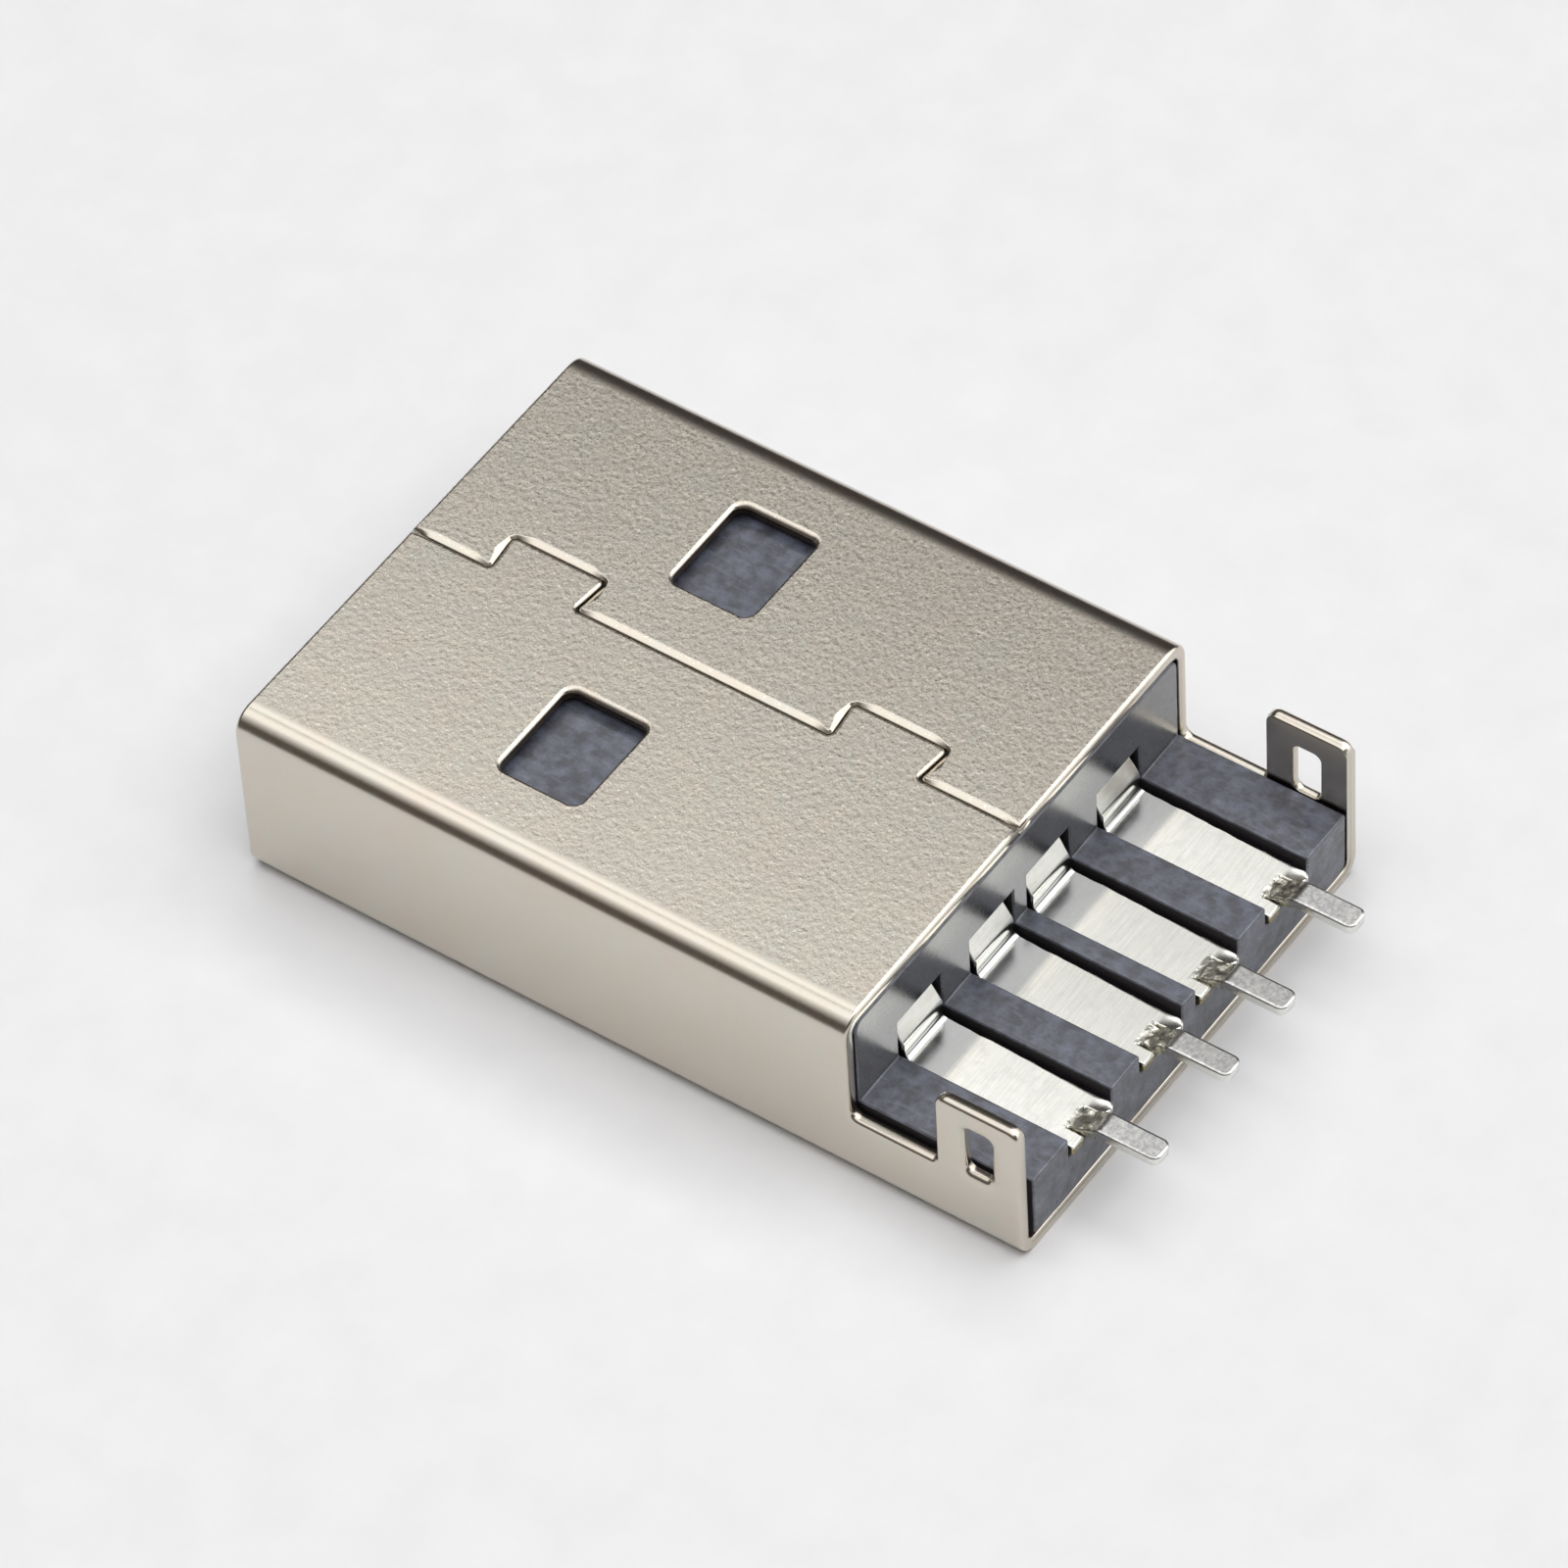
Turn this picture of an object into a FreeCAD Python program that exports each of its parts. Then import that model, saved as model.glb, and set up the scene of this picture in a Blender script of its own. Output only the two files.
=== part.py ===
import FreeCAD, Part
import math
import os

# A four-contact plug that is soldered to the edge of a board, in millimetres. It lies on its bottom
# sheet, with the seam of its folded shell up. X runs across the plug, +Y is the way it is pushed
# into its socket, and +Z is up. The origin is under the middle of the whole plug, on its lowest
# plane. Places along the plug are given as distances back from the shell's front edge.

# The shell: one sheet folded into a box that is open at the front
sheet = 0.30
shell_width = 12.00
shell_height = 4.50
fold_radius = 0.60
top_length = 14.75
rear_shelf = 4.00
ledge_height = 1.74
step_corner_radius = 0.20

# The two upright solder ears at the shell's rear
ear_height = 3.78
ear_length = 1.97
ear_corner_radius = 0.28
ear_foot_radius = 0.12
ear_slot_length = 0.62
ear_slot_height = 1.30
ear_slot_bottom = 1.88
ear_slot_radius = 0.16

# The latch windows, two in the top sheet and two in the bottom sheet
window_front = 5.16
window_length = 1.98
window_width = 2.52
window_middle = 2.95
window_radius = 0.25

# The seam, where tabs on one half of the top sheet lock into the other half
seam_offset = 0.05
seam_gap = 0.04
tab_middles = (3.00, 11.30)
tab_depth = 0.95
tab_root_width = 2.08
tab_tip_width = 2.28
tab_radius = 0.12

# The housing: a tongue, a block that fills the shell, and a ribbed base behind it
side_gap = 0.055
block_length = 5.05
tongue_setback = 0.40
tongue_side_gap = 0.15
tongue_thickness = 1.95
tongue_chamfer = 0.35
base_top = 1.93
base_setback = 0.03
housing_corner_radius = 0.25
window_relief_depth = 0.14
window_relief_margin = 0.20

# The grooves in the base, and the slots in the block's rear wall where the contacts come out
groove_width = 1.60
slot_headroom = 0.12
slot_depth = 0.62
contact_clearance = 0.03

# The contacts: cut and bent strip, the two outer ones longer than the two inner ones
strip = 0.25
inner_spacing = 2.00
outer_spacing = 7.00
outer_front = 2.30
inner_front = 3.30
beam_width = 1.00
pad_width = 1.36
pad_drop = 0.27
face_inset = 0.02
nose_length = 0.55
nose_angle = 40.0
shoulder_inset = 2.55
shoulder_length = 0.20
rise_inset = 2.15
rise_length = 0.55
exit_rise = 0.24
riser_inset = 0.30
riser_reach = 0.06
riser_upright = 0.48
inner_bend_radius = 0.14
outer_bend_radius = 0.34

# The rear end of a contact: a raised solder tail between two short fingers
tail_width = 0.57
tail_reach = 1.70
tail_corner_radius = 0.18
ramp_inset = 0.29
ramp_length = 0.60
finger_slit_length = 0.06
square_finger_reach = 0.02
round_finger_reach = 0.12
round_finger_radius = 0.19
square_finger_radius = 0.04

# What follows from the sizes above
bottom_length = top_length + rear_shelf
overall_length = bottom_length + tail_reach
inside_top = shell_height - sheet
inside_half_width = shell_width / 2 - sheet
housing_half_width = inside_half_width - side_gap
base_end = bottom_length - base_setback
block_front = top_length - block_length
tongue_width = 2 * (inside_half_width - tongue_side_gap)
tongue_bottom = inside_top - tongue_thickness
beam_bottom = tongue_bottom + face_inset
beam_top = beam_bottom + strip
exit_top = beam_top + exit_rise
slot_top = exit_top + slot_headroom
pad_top = base_top - pad_drop
riser_foot = pad_top + riser_upright
groove_floor = pad_top - strip
slot_front = top_length - slot_depth
shoulder_back = top_length - shoulder_inset
rise_start = top_length - rise_inset
ramp_start = bottom_length - ramp_inset
nose_run = nose_length * math.cos(math.radians(nose_angle))
nose_rise = nose_length * math.sin(math.radians(nose_angle))
nose_lean = strip * math.sin(math.radians(nose_angle))
window_back = window_front + window_length
past = 1.0


def at(distance_back):
    """Turns a distance back from the front edge into a place along Y."""
    return overall_length / 2 - distance_back


def rounded_face(points, radii, place):
    """Makes a flat face from its corners, each rounded by its own radius, and places it in space."""
    turns = []
    for i, point in enumerate(points):
        corner = FreeCAD.Vector(*point, 0)
        before = FreeCAD.Vector(*points[i - 1], 0)
        after = FreeCAD.Vector(*points[(i + 1) % len(points)], 0)
        to_before = (before - corner).normalize()
        to_after = (after - corner).normalize()
        half_angle = to_before.getAngle(to_after) / 2
        inward = (to_before + to_after).normalize()
        run = radii[i] / math.tan(half_angle)
        crest = radii[i] / math.sin(half_angle) - radii[i]
        turns.append((corner + to_before * run, corner + inward * crest, corner + to_after * run))
    edges = []
    for i, (enter, crest, leave) in enumerate(turns):
        following = turns[(i + 1) % len(turns)][0]
        if radii[i] > 0:
            edges.append(Part.Arc(place(enter), place(crest), place(leave)).toShape())
        edges.append(Part.LineSegment(place(leave), place(following)).toShape())
    return Part.Face(Part.Wire(edges))


def plan_prism(points, radii, z_low, z_high):
    """Raises an outline drawn as (x, distance back) from one height to another."""
    face = rounded_face(points, radii, lambda p: FreeCAD.Vector(p.x, at(p.y), z_low))
    return face.extrude(FreeCAD.Vector(0, 0, z_high - z_low))


def side_prism(points, radii, x_low, x_high):
    """Extends an outline drawn as (distance back, height) from one side to another."""
    face = rounded_face(points, radii, lambda p: FreeCAD.Vector(x_low, at(p.x), p.y))
    return face.extrude(FreeCAD.Vector(x_high - x_low, 0, 0))


def end_prism(points, radii, front, back):
    """Extends an outline drawn as (x, height) along the plug."""
    face = rounded_face(points, radii, lambda p: FreeCAD.Vector(p.x, at(back), p.y))
    return face.extrude(FreeCAD.Vector(0, back - front, 0))


def corners(low_a, high_a, low_b, high_b):
    """Gives the corners of a rectangle, in turn."""
    return [(low_a, low_b), (high_a, low_b), (high_a, high_b), (low_a, high_b)]


def box(x_middle, width, front, back, z_low, z_high):
    """Makes a plain block between two distances back from the front edge."""
    corner = FreeCAD.Vector(x_middle - width / 2, at(back), z_low)
    return Part.makeBox(width, back - front, z_high - z_low, corner)


def side_outline():
    """Makes the shell as seen from the side: a full box, then a low ledge that ends in an ear."""
    ear_front = bottom_length - ear_length
    points = [
        (0, 0),
        (bottom_length, 0),
        (bottom_length, ear_height),
        (ear_front, ear_height),
        (ear_front, ledge_height),
        (top_length, ledge_height),
        (top_length, shell_height),
        (0, shell_height),
    ]
    radii = [0, 0, ear_corner_radius, ear_corner_radius, ear_foot_radius, step_corner_radius, 0, 0]
    return side_prism(points, radii, -shell_width, shell_width)


def tab_half(grow):
    """Makes the half of the top sheet that carries the tabs, with its seam edge moved out by grow."""
    edge = seam_offset + grow
    points = [(-shell_width, -past), (edge, -past)]
    radii = [0, 0]
    for middle in tab_middles:
        root = tab_root_width / 2 + grow
        tip = tab_tip_width / 2 + grow
        points += [(edge, middle - root), (edge + tab_depth, middle - tip)]
        points += [(edge + tab_depth, middle + tip), (edge, middle + root)]
        radii += [tab_radius - grow, tab_radius + grow, tab_radius + grow, tab_radius - grow]
    points += [(edge, top_length + past), (-shell_width, top_length + past)]
    radii += [0, 0]
    return plan_prism(points, radii, inside_top - sheet, shell_height + sheet)


def seam():
    """Makes the narrow stepped gap between the two halves of the top sheet."""
    return tab_half(seam_gap / 2).cut(tab_half(-seam_gap / 2))


def window_prisms(margin, z_low, z_high):
    """Makes the room of the latch windows on both sides, widened by a margin."""
    prisms = []
    for middle in (-window_middle, window_middle):
        half = window_width / 2 + margin
        outline = corners(middle - half, middle + half, window_front - margin, window_back + margin)
        prisms.append(plan_prism(outline, [window_radius + margin] * 4, z_low, z_high))
    return prisms


def ear_slots():
    """Makes the room of the solder slots, through both ears at once."""
    middle = bottom_length - ear_length / 2
    half = ear_slot_length / 2
    outline = corners(middle - half, middle + half, ear_slot_bottom, ear_slot_bottom + ear_slot_height)
    return side_prism(outline, [ear_slot_radius] * 4, -shell_width, shell_width)


def shell():
    """Makes the folded shell with its seam, windows, ledges and ears."""
    outside = corners(-shell_width / 2, shell_width / 2, 0, shell_height)
    inside = corners(-inside_half_width, inside_half_width, sheet, inside_top)
    tube = end_prism(outside, [fold_radius] * 4, 0, bottom_length)
    hollow = end_prism(inside, [fold_radius - sheet] * 4, -past, bottom_length + past)
    body = tube.cut(hollow).common(side_outline())
    return body.cut([seam(), ear_slots()] + window_prisms(0, -past, shell_height + past))


def tongue():
    """Makes the tongue, which lies under the top sheet and is chamfered at its free end."""
    half = tongue_width / 2
    outline = corners(-half, half, tongue_bottom, inside_top)
    bar = end_prism(outline, [0, 0, housing_corner_radius, housing_corner_radius], tongue_setback, block_front)
    reach = tongue_chamfer + past
    chamfer = [
        (tongue_setback - past, tongue_bottom - past),
        (tongue_setback + reach, tongue_bottom - past),
        (tongue_setback - past, tongue_bottom + reach),
    ]
    return bar.cut(side_prism(chamfer, [0, 0, 0], -half - past, half + past))


def contact_room(middle, front):
    """Makes the room for one contact: its channel, its slot in the rear wall and its groove."""
    beam = beam_width + 2 * contact_clearance
    pad = pad_width + 2 * contact_clearance
    tip = front - contact_clearance
    nose_back = front + nose_lean + nose_run + inner_bend_radius
    pad_start = shoulder_back - shoulder_length - contact_clearance
    return [
        box(middle, beam, tip, block_front, tongue_bottom - past, beam_top),
        box(middle, beam, tip, nose_back, beam_top, beam_top + nose_rise + contact_clearance),
        box(middle, beam, block_front, pad_start, beam_bottom, beam_top),
        box(middle, pad, pad_start, slot_front, beam_bottom, exit_top + contact_clearance),
        box(middle, groove_width, slot_front, top_length + past, groove_floor, slot_top),
        box(middle, groove_width, top_length, bottom_length + past, groove_floor, base_top + past),
    ]


def contact_places():
    """Gives each contact's name, its middle across the plug and where its nose begins."""
    return [
        ("contact_outer_left", -outer_spacing / 2, outer_front),
        ("contact_inner_left", -inner_spacing / 2, inner_front),
        ("contact_inner_right", inner_spacing / 2, inner_front),
        ("contact_outer_right", outer_spacing / 2, outer_front),
    ]


def housing():
    """Makes the moulded housing in one piece: tongue, block, rear wall and ribbed base."""
    outline = corners(-housing_half_width, housing_half_width, sheet, inside_top)
    radii = [housing_corner_radius] * 4
    block = end_prism(outline, radii, block_front, top_length)
    base = end_prism(outline, radii, block_front, base_end)
    base = base.common(box(0, shell_width, block_front, base_end, 0, base_top))
    body = tongue().fuse([block, base]).removeSplitter()
    rooms = window_prisms(window_relief_margin, inside_top - window_relief_depth, shell_height)
    for name, middle, front in contact_places():
        rooms += contact_room(middle, front)
    return body.cut(rooms).removeSplitter()


def strip_band(points, radii, x_low, x_high):
    """Makes a bent strip from the path of its upper face, drawn as (distance back, height)."""
    path = [FreeCAD.Vector(*point, 0) for point in points]
    left = FreeCAD.Vector(0, 0, 1)
    arcs = []
    for before, corner, after, radius in zip(path, path[1:], path[2:], radii):
        into = (corner - before).normalize()
        out = (after - corner).normalize()
        side = math.copysign(1, into.cross(out).z)
        run = radius * math.tan(into.getAngle(out) / 2)
        enter = corner - into * run
        centre = enter + left.cross(into) * side * radius
        leave = corner + out * run
        spokes = [(point - centre).normalize() for point in (enter, corner, leave)]
        arcs.append((centre, spokes, radius, radius + side * strip))
    first_down = left.cross((path[1] - path[0]).normalize()) * -strip
    last_down = left.cross((path[-1] - path[-2]).normalize()) * -strip
    upper = [path[0]]
    lower = [path[0] + first_down]
    edges = []

    def place(point):
        return FreeCAD.Vector(x_low, at(point.x), point.y)

    for centre, spokes, upper_radius, lower_radius in arcs:
        for trail, radius in ((upper, upper_radius), (lower, lower_radius)):
            a, b, c = [centre + spoke * radius for spoke in spokes]
            edges.append(Part.LineSegment(place(trail[-1]), place(a)).toShape())
            edges.append(Part.Arc(place(a), place(b), place(c)).toShape())
            trail.append(c)
    ends = ((upper[-1], path[-1]), (lower[-1], path[-1] + last_down))
    edges += [Part.LineSegment(place(a), place(b)).toShape() for a, b in ends]
    edges.append(Part.LineSegment(place(upper[0]), place(lower[0])).toShape())
    edges.append(Part.LineSegment(place(path[-1]), place(path[-1] + last_down)).toShape())
    face = Part.Face(Part.Wire(Part.__sortEdges__(edges)))
    return face.extrude(FreeCAD.Vector(x_high - x_low, 0, 0))


def contact_strip(middle, front):
    """Makes a contact's main strip: nose, beam, riser behind the wall, and pad."""
    riser_face = top_length + riser_reach
    path = [
        (front + nose_lean, beam_top + nose_rise),
        (front + nose_lean + nose_run, beam_top),
        (rise_start, beam_top),
        (rise_start + rise_length, exit_top),
        (top_length - riser_inset, exit_top),
        (riser_face, riser_foot),
        (riser_face, pad_top),
        (bottom_length + past, pad_top),
    ]
    inner = inner_bend_radius
    outer = outer_bend_radius
    radii = [inner, inner, outer, outer, outer, inner]
    return strip_band(path, radii, middle - pad_width / 2, middle + pad_width / 2)


def contact_outline(middle, front):
    """Makes the flat outline that a contact's main strip is cut to, with its two rear fingers."""
    beam = beam_width / 2
    pad = pad_width / 2
    tail = tail_width / 2
    slit = ramp_start - finger_slit_length
    square_end = bottom_length + square_finger_reach
    round_end = bottom_length + round_finger_reach
    points = [
        (-beam, front - past), (beam, front - past), (beam, shoulder_back - shoulder_length),
        (pad, shoulder_back), (pad, round_end), (tail, round_end), (tail, slit), (-tail, slit),
        (-tail, square_end), (-pad, square_end), (-pad, shoulder_back),
        (-beam, shoulder_back - shoulder_length),
    ]
    small = square_finger_radius
    large = round_finger_radius
    radii = [0, 0, 0, 0, large, large, 0, 0, small, small, 0, 0]
    points = [(middle + x, back) for x, back in points]
    return plan_prism(points, radii, 0, shell_height)


def contact_tail(middle):
    """Makes the raised solder tail, which starts level with the pad and ends level with the ribs."""
    half = tail_width / 2
    start = ramp_start - 2 * strip
    end = bottom_length + tail_reach
    path = [(start, pad_top), (ramp_start, pad_top), (ramp_start + ramp_length, base_top), (end + past, base_top)]
    band = strip_band(path, [inner_bend_radius, outer_bend_radius], middle - half, middle + half)
    outline = corners(middle - half, middle + half, start, end)
    return band.common(plan_prism(outline, [0, 0, tail_corner_radius, tail_corner_radius], 0, shell_height))


def contact(middle, front):
    """Makes one contact as a single bent strip."""
    body = contact_strip(middle, front).common(contact_outline(middle, front))
    return body.fuse(contact_tail(middle)).removeSplitter()


def main():
    os.makedirs("parts", exist_ok=True)
    pieces = {"shell": shell(), "housing": housing()}
    for name, middle, front in contact_places():
        pieces[name] = contact(middle, front)
    for name, piece in pieces.items():
        if len(piece.Solids) != 1 or not piece.isValid():
            raise RuntimeError(f"{name} is not one sound solid")
        print(name, "volume", round(piece.Volume, 3))
        piece.Solids[0].exportStep(f"parts/{name}.step")


main()
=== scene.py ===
import math

import bmesh
import bpy
import numpy as np
from mathutils import Matrix, Vector, noise
from mathutils.geometry import delaunay_2d_cdt


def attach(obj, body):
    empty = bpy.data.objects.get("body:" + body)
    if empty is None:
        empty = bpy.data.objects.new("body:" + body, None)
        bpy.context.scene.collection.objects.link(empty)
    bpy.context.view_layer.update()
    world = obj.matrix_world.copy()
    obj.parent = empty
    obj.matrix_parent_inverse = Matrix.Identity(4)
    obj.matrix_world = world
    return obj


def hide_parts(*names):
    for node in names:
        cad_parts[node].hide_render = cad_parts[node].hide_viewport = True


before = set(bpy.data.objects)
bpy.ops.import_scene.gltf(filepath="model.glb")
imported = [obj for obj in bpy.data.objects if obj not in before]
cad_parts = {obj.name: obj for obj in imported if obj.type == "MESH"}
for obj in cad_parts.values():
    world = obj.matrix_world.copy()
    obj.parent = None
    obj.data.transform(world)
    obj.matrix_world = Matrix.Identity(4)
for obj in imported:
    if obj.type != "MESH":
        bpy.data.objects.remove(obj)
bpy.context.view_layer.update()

# Sizes of the plug in millimetres. They are those of the part's own source, but the shell's folds
# start with a gentle lead here, so their radius is smaller. Places along the plug are given as
# distances back from the shell's front edge.
MM = 0.001
sheet = 0.30
shell_width = 12.00
shell_height = 4.50
fold_radius = 0.47
fold_lead = 0.40
fold_pieces = 14
top_length = 14.75
bottom_length = 18.75
overall_length = 20.45
ledge_height = 1.74
step_corner_radius = 0.20
ear_height = 3.78
ear_length = 1.97
ear_corner_radius = 0.28
ear_foot_radius = 0.12
ear_slot = (0.62, 1.30)
ear_slot_bottom = 1.88
ear_slot_radius = 0.16
window_front = 5.16
window_length = 1.98
window_width = 2.52
window_middle = 2.95
window_radius = 0.25
seam_offset = 0.05
seam_gap = 0.04
tab_middles = (3.00, 11.30)
tab_depth = 0.95
tab_root_width = 2.08
tab_tip_width = 2.28
tab_radius = 0.12

block_front = 9.70
block_half = 5.645
tongue_front = 0.40
tongue_half = 5.55
tongue_bottom = 2.25
base_top = 1.93
base_end = 18.72
housing_corner = 0.25
corner_gap_width = 0.16
corner_gap_length = 0.25
relief_depth = 0.14
relief_margin = 0.20
groove_half = 0.76
groove_floor = 1.38
slot_top = 2.88
slot_front = 14.13
channel_half = 0.53
shoulder_front = 11.97
nose_gap = 0.03
nose_pocket_length = 0.75
nose_pocket_height = 0.38

# The contacts: name, place across, front end, and how far the rear leans sideways, as a slope
strip = 0.25
contacts = (
    ("contact_outer_left", -3.50, 2.30, 0.0),
    ("contact_inner_left", -1.00, 3.30, 0.0),
    ("contact_inner_right", 1.00, 3.30, 0.006),
    ("contact_outer_right", 3.50, 2.30, 0.018),
)
beam_half = 0.50
pad_half = 0.68
beam_top = 2.52
pad_top = 1.66
pad_lift = 0.12
pad_sink = 0.03
nose_length = 0.55
nose_angle = math.radians(40)
shoulder_back = 12.20
shoulder_length = 0.20
rise_start = 12.60
rise_length = 0.55
exit_top = 2.76
riser_top_back = 14.45
riser_face = 14.81
riser_foot = 2.14
tight_bend = 0.14
wide_bend = 0.34
tail_half = 0.285
tail_corner = 0.18
ramp_start = 18.46
ramp_length = 0.60
slit_root = 18.40
slit_gap = 0.016
square_finger_end = 18.77
square_finger_radius = 0.04
round_finger_end = 18.87
round_finger_radius = 0.19
# The rounded finger's tip is lifted and its sides are bent up from its middle
finger_lift = 0.05
finger_dish = 0.03
finger_middle = 0.49
finger_half = 0.20

# How cut edges look close up. The face that the punch enters is drawn down to a rounded lip, given
# by its width and depth. Below it lie a smooth sheared band and a torn band, and the other face
# keeps a burr.
sheet_roll = (0.10, 0.11)
sheet_burr = 0.03
strip_roll = (0.045, 0.045)
strip_burr = 0.02
roll_steps = 5
sheared_share = 0.45
torn_share = 0.06

# How the lip differs from one edge to the next: the shares of its width and depth, and how far it is
# flattened to a straight slope
plain_share = (1, 1, 0)
far_roll_share = (1.3, 0.9, 0.3)
front_roll_share = (0.9, 0.6, 0.3)
near_roll_share = (0.7, 0.6, 0)
seam_roll_share = (2.0, 0.68, 0.9)
bottom_roll_share = (0.8, 0.4, 0)
tail_roll_share = 1.3

# The seam's lip narrows towards its corners
seam_reach = 1.5
seam_ease = 0.45
corner_share = 0.7
corner_room = 0.1
corner_gain = 3.0

# The wander of a contact's cut sides, and the dents in the ramps between its fingers
edge_wave = 0.010
wave_turns = (2.9, 7.3, 13.1)
crush_depth = 0.09
crush_size = 0.22
crush_ease = 0.20
crush_before = 0.10
crush_after = 0.05

# The slant of the rollers' lines on the contacts, and of the flow lines in the plastic
roller_slant = math.radians(-14)
flow_slant = math.radians(25)

# How finely the pieces are divided. The pad and ramp lines run across a contact, given by the place of
# the first, the gap and the count, where 0 is the start of the tail's path.
mould_edge = 0.045
arc_step = math.radians(13)
sheet_grid = 0.70
strip_grid = 0.22
pad_lines = (-2.9, 0.13, 22)
ramp_lines = (0.0, 0.05, 28)
near_enough = 1e-5


def at(back):
    """Turns a distance back from the front edge into a place along Y."""
    return overall_length / 2 - back


# Flat outlines

def rounded(points, radii):
    """Gives an outline's points, with each corner rounded by its own radius."""
    out = []
    for i, point in enumerate(points):
        corner = Vector(point)
        to_before = (Vector(points[i - 1]) - corner).normalized()
        to_after = (Vector(points[(i + 1) % len(points)]) - corner).normalized()
        if radii[i] == 0:
            out.append(corner)
            continue
        half_angle = to_before.angle(to_after) / 2
        centre = corner + (to_before + to_after).normalized() * radii[i] / math.sin(half_angle)
        run = radii[i] / math.tan(half_angle)
        first = corner + to_before * run - centre
        last = corner + to_after * run - centre
        start = math.atan2(first.y, first.x)
        sweep = (math.atan2(last.y, last.x) - start + math.pi) % (2 * math.pi) - math.pi
        count = max(2, math.ceil(abs(sweep) / arc_step))
        for k in range(count + 1):
            angle = start + sweep * k / count
            out.append(centre + Vector((math.cos(angle), math.sin(angle))) * radii[i])
    return out


def rectangle(low_a, high_a, low_b, high_b):
    """Gives the corners of a rectangle, in turn."""
    return [(low_a, low_b), (high_a, low_b), (high_a, high_b), (low_a, high_b)]


def split(points, creases):
    """Adds a point to an outline wherever one of its edges crosses a crease line."""
    out = []
    for a, b in zip(points, points[1:] + points[:1]):
        shares = []
        for axis, value in creases:
            if (a[axis] - value) * (b[axis] - value) < 0:
                shares.append((value - a[axis]) / (b[axis] - a[axis]))
        out.append(a)
        out += [a + (b - a) * share for share in sorted(set(shares)) if 1e-6 < share < 1 - 1e-6]
    return out


def winding(points):
    """Gives twice the area inside an outline, positive when it runs anticlockwise."""
    return sum(a.x * b.y - b.x * a.y for a, b in zip(points, points[1:] + points[:1]))


def inward(points):
    """Gives the ways into the material, which lies to the left of an outline's run. Each reaches the
    line that lies one unit inside both edges, except at very sharp corners."""
    out = []
    for i, point in enumerate(points):
        into = (point - points[i - 1]).normalized()
        away = (points[(i + 1) % len(points)] - point).normalized()
        n1, n2 = Vector((-into.y, into.x)), Vector((-away.y, away.x))
        out.append((n1 + n2) / max(0.3, 1 + n1.dot(n2)))
    return out


def in_material(places, loops):
    """Tells which of the places lie inside the outer outline and outside its holes."""
    x, y = places[:, 0], places[:, 1]
    odd = np.zeros(len(places), bool)
    for loop in loops:
        for a, b in zip(loop, loop[1:] + loop[:1]):
            if a.y != b.y:
                crosses = (a.y > y) != (b.y > y)
                odd ^= crosses & (x < (b.x - a.x) * (y - a.y) / (b.y - a.y) + a.x)
    return odd


def edge_section(roll, burr, thickness):
    """Gives a cut edge's section, from the punched face to the other, as (inset, depth): a rounded lip,
    a smooth sheared band, a torn band just behind it, and a burr."""
    quarter = [math.pi / 2 * k / roll_steps for k in range(roll_steps + 1)]
    lip = [(roll[0] * (1 - math.sin(a)), roll[1] * (1 - math.cos(a))) for a in quarter]
    tear = roll[1] + sheared_share * (thickness - roll[1])
    step = torn_share * thickness
    return lip + [(0.0, tear), (step, tear + step), (step, thickness - burr), (step + burr, thickness)]


def drawn_in(section, share):
    """Gives a section with its rounded lip drawn in width and depth by a share of each, and flattened
    towards a straight slope by the third share."""
    width, depth, straight = share
    full_width, full_depth = section[0][0], section[roll_steps][1]
    lip = []
    for k, (inset, deep) in enumerate(section[:roll_steps + 1]):
        inset += ((1 - k / roll_steps) * full_width - inset) * straight
        deep += (k / roll_steps * full_depth - deep) * straight
        lip.append((inset * width, deep * depth))
    return lip + section[roll_steps + 1:]


def section_leans(section):
    """Gives how far a section faces out of the edge and up at each of its points."""
    spots = [Vector((-inset, -depth)) for inset, depth in section]
    leans = [Vector((0, 1))]
    for before, after in zip(spots, spots[2:]):
        run = (after - before).normalized()
        leans.append(Vector((-run.y, run.x)))
    return leans + [Vector((0, -1))]


def cut_walls(loops, creases):
    """Makes the cut edges of a flat sheet. Gives the spots, the way that each faces, the faces with
    their finishes, and each loop's rings of spots from the upper face to the lower."""
    spots, leans, faces, finishes, rings = [], [], [], [], []
    for i, (points, section, share, finish) in enumerate(loops):
        points = split(points, creases)
        if (winding(points) > 0) != (i == 0):
            points.reverse()
        ring = []
        ways = inward(points)
        sections = [drawn_in(section, share(p)) for p in points]
        tilts = [section_leans(one) for one in sections]
        for level in range(len(section)):
            ring.append(range(len(spots), len(spots) + len(points)))
            for p, way, one, tilt in zip(points, ways, sections, tilts):
                inset, depth = one[level]
                spots.append((*(p + way * inset), depth))
                leans.append((*(-way.normalized() * tilt[level].x), tilt[level].y))
        for level, (upper, lower) in enumerate(zip(ring, ring[1:])):
            for k in range(len(points)):
                following = (k + 1) % len(points)
                faces.append((upper[k], upper[following], lower[following], lower[k]))
                finishes.append(finish(points[k]) if level >= roll_steps else 0)
        rings.append(ring)
    return spots, leans, faces, finishes, rings


def draw_creases(flat, edges, rim, creases, step):
    """Adds the crease lines of one face to its points and edges, where they cross the material."""
    for axis, value in creases:
        on_line = sorted((p for p in flat if abs(p[axis] - value) < near_enough), key=lambda p: p[1 - axis])
        middles = np.array([(a + b) / 2 for a, b in zip(on_line, on_line[1:])]).reshape(-1, 2)
        for a, b, solid in zip(on_line, on_line[1:], in_material(middles, rim)):
            if solid and (b - a).length > 10 * near_enough:
                pieces = max(1, round((b - a).length / step))
                edges += [(len(flat) + k, len(flat) + k + 1) for k in range(pieces)]
                flat += [a + (b - a) * k / pieces for k in range(pieces + 1)]


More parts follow.
